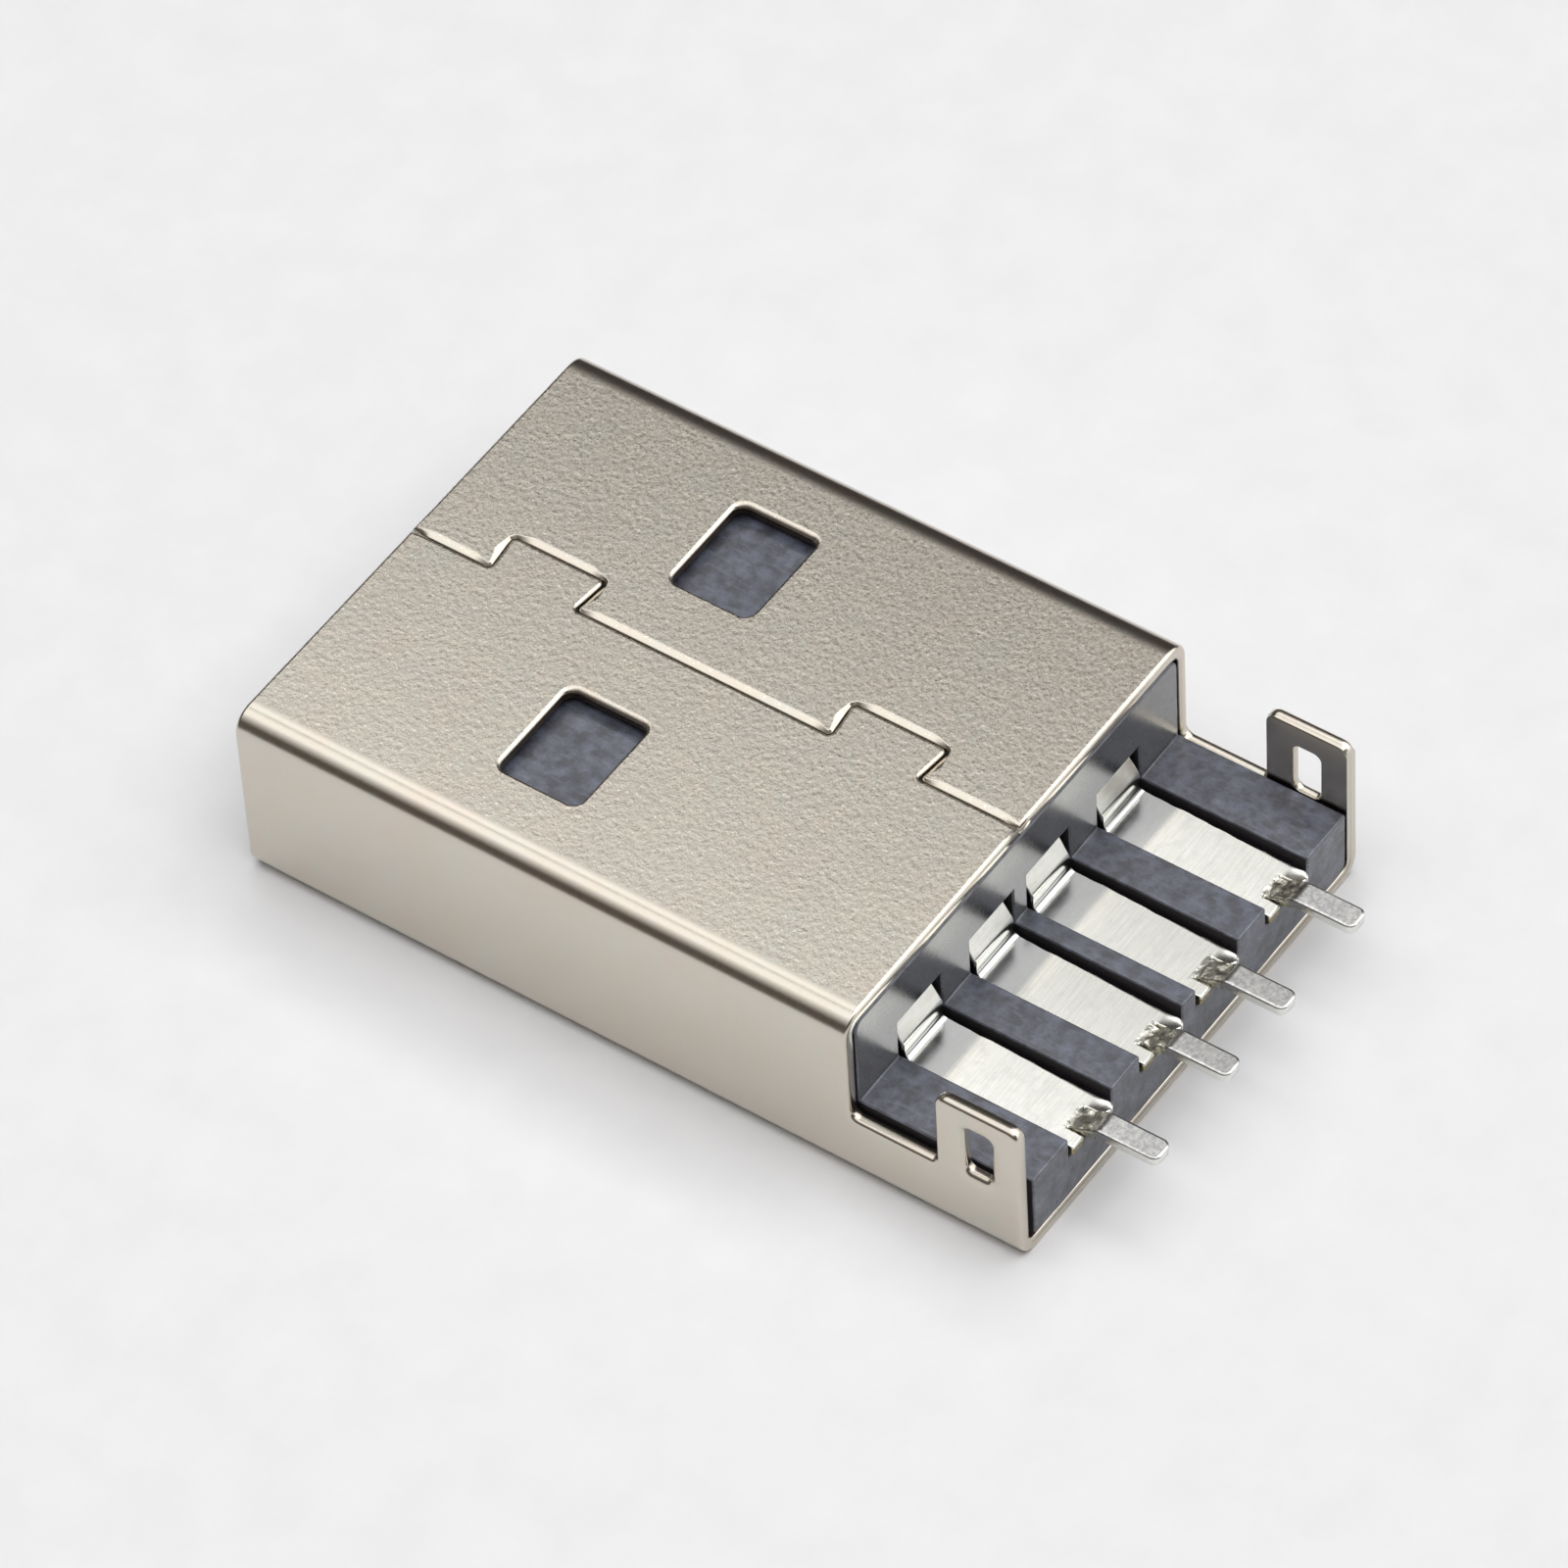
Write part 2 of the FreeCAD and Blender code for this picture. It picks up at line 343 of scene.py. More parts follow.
def grid_inside(flat, rim, step):
    """Gives the points of a square grid that lie in the material and not close to another point."""
    low = np.array(flat).min(axis=0)
    high = np.array(flat).max(axis=0)
    columns = np.arange(low[0], high[0], step)
    rows = np.arange(low[1], high[1], step)
    field = np.array([(u, v) for u in columns for v in rows])
    field = field[in_material(field, rim)]
    nearest = np.array([min((Vector(q) - p).length_squared for p in flat) for q in field])
    return [Vector(q) for q in field[nearest > (0.4 * step) ** 2]]


def bent_shading(spots, leans, place):
    """Gives the way that each spot of a bent sheet faces, from the way that it faces in the flat."""
    nudge = 1e-3
    shading = []
    for (u, v, depth), lean in zip(spots, leans):
        here = Vector(place(u, v, depth))
        beside = ((u + nudge, v, depth), (u, v + nudge, depth), (u, v, depth - nudge))
        ways = [Vector(place(*spot)) - here for spot in beside]
        square = ways[0].cross(ways[1])
        ways[2] = square if square.dot(ways[2]) > 0 else -square
        parts = (way.normalized() * part for way, part in zip(ways, lean))
        shading.append(sum(parts, Vector()).normalized())
    return shading


def plate(name, loops, creases, step, place):
    """Makes a sheet from its flat pattern, bent by place. Each loop is an outline, its edge section,
    and two functions of a point: the shares by which its lip is drawn, and the finish of its cut
    face."""
    spots, leans, faces, finishes, rings = cut_walls(loops, creases)
    for level, facing in ((0, 1), (-1, -1)):
        known = [i for ring in rings for i in ring[level]]
        depth = spots[known[0]][2]
        flat = [Vector(spots[i][:2]) for i in known]
        edges, rim = [], []
        start = 0
        for ring in rings:
            count = len(ring[level])
            edges += [(start + k, start + (k + 1) % count) for k in range(count)]
            rim.append(flat[start:start + count])
            start += count
        draw_creases(flat, edges, rim, creases, step)
        flat += grid_inside(flat, rim, step)
        placed, _, triangles, origins, _, _ = delaunay_2d_cdt(flat, edges, [], 1, 1e-7)
        index = []
        for spot, origin in zip(placed, origins):
            first = min(origin) if origin else len(flat)
            if first < len(known):
                index.append(known[first])
            else:
                index.append(len(spots))
                spots.append((spot.x, spot.y, depth))
                leans.append((0, 0, facing))
        centres = np.array([sum((placed[i] for i in t), Vector((0, 0))) / len(t) for t in triangles])
        for triangle, solid in zip(triangles, in_material(centres, rim)):
            if solid:
                faces.append([index[i] for i in triangle])
                finishes.append(0)
    mesh = bpy.data.meshes.new(name)
    mesh.from_pydata([Vector(place(*spot)) * MM for spot in spots], [], faces)
    thing = settle(name, mesh)
    mesh.polygons.foreach_set("material_index", finishes)
    mesh.normals_split_custom_set_from_vertices(bent_shading(spots, leans, place))
    return thing


def settle(name, mesh):
    """Turns a mesh's faces outwards, smooths them and puts it in the scene."""
    work = bmesh.new()
    work.from_mesh(mesh)
    bmesh.ops.recalc_face_normals(work, faces=work.faces)
    work.to_mesh(mesh)
    work.free()
    mesh.shade_smooth()
    thing = bpy.data.objects.new(name, mesh)
    bpy.context.scene.collection.objects.link(thing)
    return thing


def even_shading(thing):
    """Keeps flat faces looking flat beside their rounded edges."""
    modifier = thing.modifiers.new("even shading", "WEIGHTED_NORMAL")
    modifier.weight = 100
    modifier.keep_sharp = False


# The shell, folded from one flat sheet. Its flat pattern runs round the plug from the seam, over the
# left side, the bottom and the right side, back to the seam.

def fold_table(steps=60):
    """Walks round the outside of a fold, which starts gently and then tightens. Each row holds the
    place in the flat pattern, the way gone across and down, and the turn so far."""
    lead_turn = fold_lead / (2 * fold_radius)
    length = fold_lead + fold_radius * (math.pi / 2 - lead_turn)
    rows = [(0.0, 0.0, 0.0, 0.0)]
    for k in range(steps):
        _, across, down, turned = rows[-1]
        gone = length * (k + 1) / steps
        if gone < fold_lead:
            turn = lead_turn * (gone / fold_lead) ** 2
        else:
            turn = lead_turn + (gone - fold_lead) / fold_radius
        heading = (turned + turn) / 2
        across += math.cos(heading) * length / steps
        down += math.sin(heading) * length / steps
        rows.append((gone - turn * sheet / 2, across, down, turn))
    return np.array(rows).T


fold = fold_table()
fold_run, fold_across, fold_down = fold[0][-1], fold[1][-1], fold[2][-1]
half_flat = shell_width / 2 - fold_across
half_round = 2 * (half_flat + fold_run) + shell_height - 2 * fold_down
round_length = 2 * half_round


def folded(u):
    """Gives the place across and up on the outside at u round the shell, and the way out there."""
    side = -1 if u < half_round else 1
    run = min(u, round_length - u)
    upward = 1 if run < half_round / 2 else -1
    run = min(run, half_round - run)
    if run < half_flat:
        across, down, turn = run, 0.0, 0.0
    elif run < half_flat + fold_run:
        across, down, turn = (np.interp(run - half_flat, fold[0], row) for row in fold[1:])
        across += half_flat
    else:
        across, down, turn = shell_width / 2, fold_down + run - half_flat - fold_run, math.pi / 2
    height = shell_height - down if upward > 0 else down
    return (side * across, height), (side * math.sin(turn), upward * math.cos(turn))


def shell_place(u, back, depth):
    """Bends the flat pattern of the shell round the plug."""
    (x, z), way = folded(u)
    return x - way[0] * depth, at(back), z - way[1] * depth


def seam_edge(grow, inland):
    """Gives the seam's run from front to rear with its tabs, as (x, distance back), and its radii.
    The points without a radius let the rolled edge widen away from the corners. Inland is the side on
    which the material lies."""
    edge = seam_offset + grow
    points = [(edge + inland * seam_ease, 0), (edge, 0), (edge, seam_ease)]
    radii = [0, 0, 0]
    for middle in tab_middles:
        root, tip = tab_root_width / 2 + grow, tab_tip_width / 2 + grow
        for toward_rear in (-1, 1):
            run = [(edge, root + seam_ease, 0), (edge, root, tab_radius)]
            run += [(edge + tab_depth / 2, (root + tip) / 2, 0)]
            run += [(edge + tab_depth, tip, tab_radius), (edge + tab_depth, tip - seam_ease, 0)]
            for x, along, radius in run[::-toward_rear]:
                points.append((x, middle + toward_rear * along))
                radii.append(radius)
    points += [(edge, top_length - seam_ease), (edge, top_length), (edge + inland * seam_ease, top_length)]
    return points, radii + [0, 0, 0]


def left_u(height):
    """Gives the flat place of a height on the left side."""
    return half_flat + fold_run + shell_height - fold_down - height


def right_u(height):
    """Gives the flat place of a height on the right side."""
    return round_length - left_u(height)


def shell_outline():
    """Gives the shell's flat outline and radii: the seam's left edge, the left side with its step and
    ear, the same on the right, and the seam's right edge."""
    ear_front = bottom_length - ear_length
    left, left_radii = seam_edge(-seam_gap / 2, -1)
    right, right_radii = seam_edge(seam_gap / 2, 1)
    side = [(ledge_height, top_length), (ledge_height, ear_front)]
    side += [(ear_height, ear_front), (ear_height, bottom_length)]
    side_radii = [step_corner_radius, ear_foot_radius, ear_corner_radius, ear_corner_radius]
    points = [(-x, v) for x, v in left]
    points += [(left_u(z), v) for z, v in side]
    points += [(right_u(z), v) for z, v in side[::-1]]
    points += [(round_length - x, v) for x, v in right[::-1]]
    return points, left_radii + side_radii + side_radii[::-1] + right_radii[::-1]


def window_share(u, facing):
    """Gives how the lip is drawn round one window, whose middle is at u. It is widest on the far edge
    and plainest on the near one."""
    middle = window_front + window_length / 2

    def share(point):
        toward_far = facing * (u - point.x) / (window_width / 2)
        toward_front = (middle - point.y) / (window_length / 2)
        far = min(1.0, max(0.0, 4 * toward_far - 3))
        front = min(1.0 - far, max(0.0, 4 * toward_front - 3))
        near = 1 - far - front
        parts = zip(far_roll_share, front_roll_share, near_roll_share)
        return tuple(far * a + front * b + near * c for a, b, c in parts)

    return share


def make_shell():
    """Makes the shell: its outline, four windows and two ear slots, folded round the plug."""
    section = edge_section(sheet_roll, sheet_burr, sheet)
    # The rims of the ear slots are drawn in wide and deep
    wide_lip = [(0.30, 0.0), (0.21, 0.004), (0.14, 0.014), (0.09, 0.030), (0.05, 0.055), (0.02, 0.09)]
    wide_lip.append((0.0, 0.14))
    points, radii = shell_outline()
    seam_ends = [(u, v) for u in (-seam_offset, round_length - seam_offset) for v in (0, top_length)]
    tab_corners = [p for p, radius in zip(points, radii) if radius == tab_radius]
    corners = [Vector(p) for p in tab_corners + seam_ends]

    def outline_share(point):
        across = min(abs(point.x), abs(point.x - round_length))
        if point.y > bottom_length - 0.01:
            return bottom_roll_share
        if across > seam_reach or not 0.01 < point.y < top_length - 0.01:
            return plain_share
        room = min((point - corner).length for corner in corners)
        width, depth, straight = near_roll_share if point.x < half_round else seam_roll_share
        return min(width, corner_share + corner_gain * max(0.0, room - corner_room)), depth, straight

    def plain(point):
        return plain_share

    def plated(point):
        return 0

    def bare_and_shaded(point):
        return 1

    loops = [(rounded(points, radii), section, outline_share, plated)]
    for middle in (-window_middle, window_middle):
        top = -middle if middle < 0 else round_length - middle
        bottom = half_round + middle
        for u, facing in ((top, 1), (bottom, -1)):
            low, high = u - window_width / 2, u + window_width / 2
            window = rectangle(low, high, window_front, window_front + window_length)
            # The windows' cut walls take the brown steel that is darkened with painted shade
            loops.append((rounded(window, [window_radius] * 4), section, window_share(u, facing), bare_and_shaded))
    ear_middle = bottom_length - ear_length / 2
    length, height = ear_slot
    slot_middle = ear_slot_bottom + height / 2
    for u in (left_u(slot_middle), right_u(slot_middle)):
        low, high = u - height / 2, u + height / 2
        slot = rectangle(low, high, ear_middle - length / 2, ear_middle + length / 2)
        loops.append((rounded(slot, [ear_slot_radius] * 4), wide_lip + section[-2:], plain, plated))
    creases = []
    for k in range(fold_pieces + 1):
        run = half_flat + fold_run * k / fold_pieces
        creases += [(0, u) for u in (run, half_round - run, half_round + run, round_length - run)]
    return plate("shell_sheet", loops, creases, sheet_grid, shell_place)


# The housing, moulded in one piece. All of it is square to the axes, so its skin is taken from a
# lattice of boxes and its edges are then rounded.

def lattice(xs, ys, zs, solid):
    """Makes the skin between the full and the empty boxes of a lattice."""
    xs, ys, zs = sorted(set(xs)), sorted(set(ys)), sorted(set(zs))
    full = np.zeros((len(xs) + 1, len(ys) + 1, len(zs) + 1), bool)
    for i in range(len(xs) - 1):
        for j in range(len(ys) - 1):
            for k in range(len(zs) - 1):
                centre = ((xs[i] + xs[i + 1]) / 2, (ys[j] + ys[j + 1]) / 2, (zs[k] + zs[k + 1]) / 2)
                full[i + 1, j + 1, k + 1] = solid(*centre)
    work = bmesh.new()
    made = {}

    def vertex(i, j, k):
        if (i, j, k) not in made:
            made[i, j, k] = work.verts.new((xs[i] * MM, at(ys[j]) * MM, zs[k] * MM))
        return made[i, j, k]

    for i, j, k in zip(*np.nonzero(full)):
        for axis in range(3):
            for step in (-1, 1):
                near = [i, j, k]
                near[axis] += step
                if full[tuple(near)]:
                    continue
                spans = [(n - 1, n) for n in (i, j, k)]
                spans[axis] = (spans[axis][step > 0],)
                ring = [(a, b, c) for a in spans[0] for b in spans[1] for c in spans[2]]
                work.faces.new([vertex(*ring[n]) for n in (0, 1, 3, 2)])
    bmesh.ops.recalc_face_normals(work, faces=work.faces)
    bmesh.ops.dissolve_limit(work, angle_limit=0.01, verts=work.verts, edges=work.edges)
    return work


def housing_solid(x, back, z):
    """Tells whether the housing is there."""
    in_tongue = abs(x) < tongue_half and tongue_front < back < block_front and z > tongue_bottom
    in_block = block_front < back < top_length
    in_base = top_length < back < base_end and z < base_top
    if not (in_tongue or in_block or in_base):
        return False
    # The dark upright gap at the near rear corner
    if x < corner_gap_width - block_half and back > base_end - corner_gap_length:
        return False
    # The reliefs under the windows
    for middle in (-window_middle, window_middle):
        across = abs(x - middle) < window_width / 2 + relief_margin
        along = window_front - relief_margin < back < window_front + window_length + relief_margin
        if across and along and z > shell_height - sheet - relief_depth:
            return False
    # A contact's channel with the pocket for its nose, its way through the block, and its groove
    for _, middle, front, _ in contacts:
        aside = abs(x - middle)
        by_nose = back < front + nose_pocket_length
        channel_top = beam_top + nose_pocket_height if by_nose else beam_top
        in_channel = front - nose_gap < back < shoulder_front and tongue_bottom < z < channel_top
        if aside < channel_half and in_channel:
            return False
        if aside < groove_half and shoulder_front < back < top_length and tongue_bottom < z < slot_top:
            return False
        if aside < groove_half and back > slot_front and groove_floor < z < slot_top:
            return False
    return True


def make_housing():
    """Makes the housing, with its long edges rounded to suit the shell's folds."""
    xs = [-block_half, corner_gap_width - block_half, -tongue_half, tongue_half, block_half]
    ys = [tongue_front, block_front, shoulder_front, slot_front, top_length]
    ys += [base_end - corner_gap_length, base_end]
    zs = [sheet, groove_floor, base_top, tongue_bottom, beam_top, slot_top, beam_top + nose_pocket_height]
    zs += [shell_height - sheet - relief_depth, shell_height - sheet]
    for _, middle, front, _ in contacts:
        xs += [middle + side * half for half in (channel_half, groove_half) for side in (-1, 1)]
        ys += [front - nose_gap, front + nose_pocket_length]
    for middle in (-window_middle, window_middle):
        half = window_width / 2 + relief_margin
        xs += [middle - half, middle + half]
    ys += [window_front - relief_margin, window_front + window_length + relief_margin]
    work = lattice(xs, ys, zs, housing_solid)
    long_edges = []
    for edge in work.edges:
        a, b = (v.co / MM for v in edge.verts)
        along = abs(a.x - b.x) < 1e-4 and abs(a.z - b.z) < 1e-4
        outer = min(abs(abs(a.x) - block_half), abs(abs(a.x) - tongue_half)) < 1e-4
        level = min(abs(a.z - sheet), abs(a.z - (shell_height - sheet))) < 1e-4
        if along and outer and level:
            long_edges.append(edge)
    offset = housing_corner * MM
    bmesh.ops.bevel(work, geom=long_edges, offset=offset, segments=4, profile=0.5, affect="EDGES")
    # The rear wall is polished, and the upright sides from the wall slots on are scuffed and darkened with
    # painted shade, as they lie in shade
    for face in work.faces:
        middle = face.calc_center_median() / MM
        if face.normal.y < -0.9 and abs(middle.y - at(top_length)) < 0.01:
            face.material_index = 1
        elif abs(face.normal.x) > 0.9 and middle.y < at(slot_front):
            face.material_index = 2
    mesh = bpy.data.meshes.new("housing_moulding")
    work.to_mesh(mesh)
    work.free()
    housing = settle("housing_moulding", mesh)
    edges = housing.modifiers.new("moulded edges", "BEVEL")
    edges.width = mould_edge * MM
    edges.segments = 3
    edges.limit_method = "ANGLE"
    edges.angle_limit = math.radians(40)
    edges.use_clamp_overlap = False
    edges.material = 0
    even_shading(housing)
    return housing


# The contacts, each cut flat from strip and then bent

def bent_path(corners, radii):
    """Gives a bent strip's upper face as stretches: start, heading, length and bend per millimetre."""
    corners = [Vector(c) for c in corners]
    stretches = []
    start = corners[0]
    for before, corner, after, radius in zip(corners, corners[1:], corners[2:], radii):
        into = (corner - before).normalized()
        out = (after - corner).normalized()
        turn = math.atan2(into.cross(out), into.dot(out))
        run = radius * math.tan(abs(turn) / 2)
        enter = corner - into * run
        heading = math.atan2(into.y, into.x)
        stretches.append((start, heading, (enter - start).length, 0.0))
        stretches.append((enter, heading, radius * abs(turn), math.copysign(1 / radius, turn)))
        start = corner + out * run
    stretches.append((start, math.atan2(out.y, out.x), (corners[-1] - start).length, 0.0))
    return stretches


def walk(stretches, distance):
    """Gives the place and heading at a distance along a bent path."""
    for start, heading, length, bend in stretches:
        if distance <= length:
            break
        distance -= length
    else:
        distance += length
    if bend == 0:
        return start + Vector((math.cos(heading), math.sin(heading))) * distance, heading
    centre = start + Vector((-math.sin(heading), math.cos(heading))) / bend
    heading += bend * distance
    return centre - Vector((-math.sin(heading), math.cos(heading))) / bend, heading


def reach(stretches, back):
    """Gives how far along a bent path its level stretch passes a distance back."""
    travelled = 0.0
    for start, heading, length, bend in stretches:
        if bend == 0 and abs(heading) < 0.1 and start.x <= back <= start.x + length * math.cos(heading):
            return travelled + (back - start.x) / math.cos(heading)
        travelled += length
    raise ValueError("no level stretch there")


def bend_creases(stretches, offset, pieces):
    """Gives the crease lines across a strip at its bends."""
    lines = []
    travelled = offset
    for start, heading, length, bend in stretches:
        if bend:
            lines += [(1, travelled + length * k / pieces) for k in range(pieces + 1)]
        travelled += length
    return lines


def pad_line(back):
    """Gives a point of a pad's upper face from the side. It falls a little towards the rear."""
    return back, pad_top - pad_sink + pad_lift * (ramp_start - back) / (ramp_start - riser_face)


def strip_path(front):
    """Gives the upper face of a contact from the side, from its raised nose to its fingers."""
    nose_start = front + strip * math.sin(nose_angle)
    nose_run = nose_length * math.cos(nose_angle)
    nose_rise = nose_length * math.sin(nose_angle)
    return bent_path([
        (nose_start, beam_top + nose_rise),
        (nose_start + nose_run, beam_top),
        (rise_start, beam_top),
        (rise_start + rise_length, exit_top),
        (riser_top_back, exit_top),
        (riser_face, riser_foot),
        pad_line(riser_face),
        pad_line(bottom_length + 1),
    ], [tight_bend, tight_bend, wide_bend, wide_bend, wide_bend, tight_bend])


def tail_path(start):
    """Gives the upper face of a solder tail from the side, with the ramp that lifts it off the pad."""
    return bent_path([
        pad_line(start),
        pad_line(ramp_start),
        (ramp_start + ramp_length, base_top),
        (overall_length + 1, base_top),
    ], [tight_bend, wide_bend])


def eased(length):
    """Turns a length past an edge into a share that grows from 0 to 1 within the crush ease."""
    return min(1.0, max(0.0, length / crush_ease))


def make_contact(name, middle, front, twist):
    """Makes one contact."""
    main = strip_path(front)
    tail_from = ramp_start - 2 * strip
    tail = tail_path(tail_from)
    tail_offset = reach(main, tail_from)
    root = reach(main, slit_root)
    square_end = reach(main, square_finger_end)
    round_end = reach(main, round_finger_end)
    tail_end = tail_offset + reach(tail, overall_length)
    shoulder = reach(main, shoulder_back)
    slit = tail_half + slit_gap
    tail_side = tail_half + slit_gap / 2
    crush_start = root - crush_before
    crush_end = tail_offset + 2 * strip + ramp_length + crush_after
    # The nose, the right-hand shoulder and rounded finger, the tail, and the left-hand square finger
    corners = [
        (-beam_half, 0, 0),
        (beam_half, 0, 0),
        (beam_half, shoulder - shoulder_length, 0),
        (pad_half, shoulder, 0),
        (pad_half, round_end, round_finger_radius),
        (slit, round_end, round_finger_radius),
        (slit, root, 0),
        (tail_half, root, 0),
        (tail_half, tail_end, tail_corner),
        (-tail_half, tail_end, tail_corner),
        (-tail_half, root, 0),
        (-slit, root, 0),
        (-slit, square_end, square_finger_radius),
        (-pad_half, square_end, square_finger_radius),
        (-pad_half, shoulder, 0),
        (-beam_half, shoulder - shoulder_length, 0),
    ]
    outline = rounded([corner[:2] for corner in corners], [corner[2] for corner in corners])
    creases = bend_creases(main, 0, 6) + bend_creases(tail, tail_offset, 5)
    for first, gap, count in (pad_lines, ramp_lines):
        creases += [(1, tail_offset + first + gap * k) for k in range(count)]
    creases += [(0, tail_half * k / 4) for k in range(-3, 4)]

    def share(point):
        on_tail = point.y > tail_offset + 2 * ramp_length and abs(point.x) < slit
        return (tail_roll_share if on_tail else 1), 1, 0

    def finish(point):
        return 1 if point.x < -tail_side and point.y > root + 0.1 else 0

    def place(x, along, depth):
        wander = sum(math.sin(along * turn + middle) for turn in wave_turns)
        x *= 1 + edge_wave * wander * abs(x) / pad_half
        on_tail = abs(x) < tail_side and along > tail_offset
        spot, heading = walk(tail, along - tail_offset) if on_tail else walk(main, along)
        lift = 0.0
        if x > tail_side and along > root:
            bent = (along - root) / (round_end - root)
            dish = ((x - finger_middle) / finger_half) ** 2
            lift = finger_lift * bent ** 2 + finger_dish * bent * dish
        dent = 0.0
        if abs(x) < slit:
            crushed = eased(along - crush_start) * eased(crush_end - along)
            dent = noise.noise(Vector((x, along, middle)) / crush_size) * crush_depth * crushed
        spot = spot - Vector((-math.sin(heading), math.cos(heading))) * (depth + dent)
        lean = twist * x * min(1.0, max(0.0, spot.x - riser_face))
        return middle + x, at(spot.x), spot.y + lift + lean

    section = edge_section(strip_roll, strip_burr, strip)
    return plate(name + "_strip", [(outline, section, share, finish)], creases, strip_grid, place)


# Finishes. Pattern sizes are given in millimetres on the real thing.

def colour(code):
    """Turns a screen colour such as b8b0a4 into the linear one that the renderer works with."""
    out = []
    for k in (0, 2, 4):
        share = int(code[k:k + 2], 16) / 255
        out.append(share / 12.92 if share <= 0.04045 else ((share + 0.055) / 1.055) ** 2.4)
    return (*out, 1.0)


def per_metre(size):
    """Gives the texture scale at which one patch of a pattern is this many millimetres."""
    return 1 / (size * MM)


def add(tree, kind, inputs=(), output=0, **options):
    """Adds a node, sets its options, and fills or links its inputs, which are given in order or by
    key. Gives one of its outputs, or all of them for None."""
    made = tree.nodes.new("ShaderNode" + kind)
    for name, value in options.items():
        setattr(made, name, value)
    for key, value in (inputs.items() if isinstance(inputs, dict) else enumerate(inputs)):
        if isinstance(value, bpy.types.NodeSocket):
            tree.links.new(value, made.inputs[key])
        else:
            made.inputs[key].default_value = value
    return made.outputs if output is None else made.outputs[output]


def patches(where, size, roughness=0.55, detail=3.0):
    """Gives what a cloudy pattern needs for patches of this many millimetres."""
    return {"Vector": where, "Scale": per_metre(size), "Detail": detail, "Roughness": roughness}


def start_finish(name):
    """Starts a material and gives it with its node tree and the place on the object."""
    material = bpy.data.materials.new(name)
    material.use_nodes = True
    tree = material.node_tree
    tree.nodes.clear()
    return material, tree, add(tree, "TexCoord", output="Object")


def wide_faces(tree, where):
    """Picks the shell's top and bottom between their folds."""
    way = add(tree, "SeparateXYZ", [where], None)
    top = add(tree, "MapRange", [way["Z"], 4.43 * MM, 4.495 * MM, 0, 1])
    bottom = add(tree, "MapRange", [way["Z"], 0.01 * MM, 0.12 * MM, 1, 0])
    level = add(tree, "Math", [top, bottom], operation="MAXIMUM")
    aside = add(tree, "Math", [way["X"]], operation="ABSOLUTE")
    inside = add(tree, "MapRange", [aside, (half_flat - 0.05) * MM, (half_flat + 0.08) * MM, 1, 0])
    return add(tree, "Math", [level, inside], operation="MULTIPLY")


def satin_nickel():
    # Steel sheet, barrel plated with nickel: warm grey. The wide faces keep the fine pebbled grain of
    # the rolled steel, and the sides, which the folding tool ironed, are smooth with faint clouds
    material, tree, where = start_finish("satin_nickel_plate")
    wide = wide_faces(tree, where)
    # The grain of the rolled steel
    grain = add(tree, "TexNoise", patches(where, 0.075, detail=2.0))
    grain = add(tree, "MapRange", [grain, 0.35, 0.65, 0, 1])
    contrast = add(tree, "MapRange", [wide, 0, 1, 0.25, 1])
    grain = add(tree, "Math", [grain, contrast], operation="MULTIPLY")
    # Greener and redder clouds in the plate
    green = add(tree, "TexNoise", patches(where, 0.9, detail=2.0))
    green = add(tree, "MapRange", [green, 0.35, 0.65, 0, 0.6])
    red = add(tree, "TexNoise", patches(where, 1.7, detail=2.0))
    red = add(tree, "MapRange", [red, 0.45, 0.7, 0, 0.4])
    # Painted glints on the wide faces, and a few dark pits
    painted_glints = add(tree, "TexNoise", patches(where, 0.06, detail=1.0))
    painted_glints = add(tree, "MapRange", [painted_glints, 0.64, 0.74, 0, 1])
    painted_glints = add(tree, "Math", [painted_glints, wide], operation="MULTIPLY")
    pits = add(tree, "TexVoronoi", {"Vector": where, "Scale": per_metre(3.6)}, "Distance")
    pits = add(tree, "MapRange", [pits, 0.008, 0.016, 1, 0])
    tone = colour("cdc5b8")
    layers = ((grain, "dcd5c8"), (green, "cdccc2"), (red, "d3c6bb"), (painted_glints, "fbf6ec"), (pits, "847d72"))
    for share, code in layers:
        tone = add(tree, "Mix", {0: share, 6: tone, 7: colour(code)}, 2, data_type="RGBA")
    rough = add(tree, "MapRange", [grain, 0, 1, 0.22, 0.32])
    pebbles = add(tree, "TexNoise", patches(where, 0.12, detail=3.5))
    strength = add(tree, "MapRange", [wide, 0, 1, 0.06, 1])
    bumps = add(tree, "Bump", {"Height": pebbles, "Distance": 0.0050 * MM, "Strength": strength})
    inputs = {"Base Color": tone, "Metallic": 1.0, "Roughness": rough, "Normal": bumps}
    shader = add(tree, "BsdfPrincipled", inputs)
    add(tree, "OutputMaterial", {"Surface": shader}, None)
    return material


def cut_steel():
    # The punched walls of the windows, where the plate is thin: dull brown steel, made darker still with
    # painted shade for the shade inside the windows
    material, tree, where = start_finish("cut_steel_painted_shade")
    torn = add(tree, "TexNoise", patches(where, 0.06))
    share = add(tree, "MapRange", [torn, 0.3, 0.7, 0, 1])
    tone = add(tree, "Mix", {0: share, 6: colour("2e211a"), 7: colour("62503f")}, 2, data_type="RGBA")
    bumps = add(tree, "Bump", {"Height": torn, "Distance": 0.004 * MM, "Strength": 1.0})
    inputs = {"Base Color": tone, "Metallic": 1.0, "Roughness": 0.42, "Normal": bumps}
    shader = add(tree, "BsdfPrincipled", inputs)
    add(tree, "OutputMaterial", {"Surface": shader}, None)
    return material


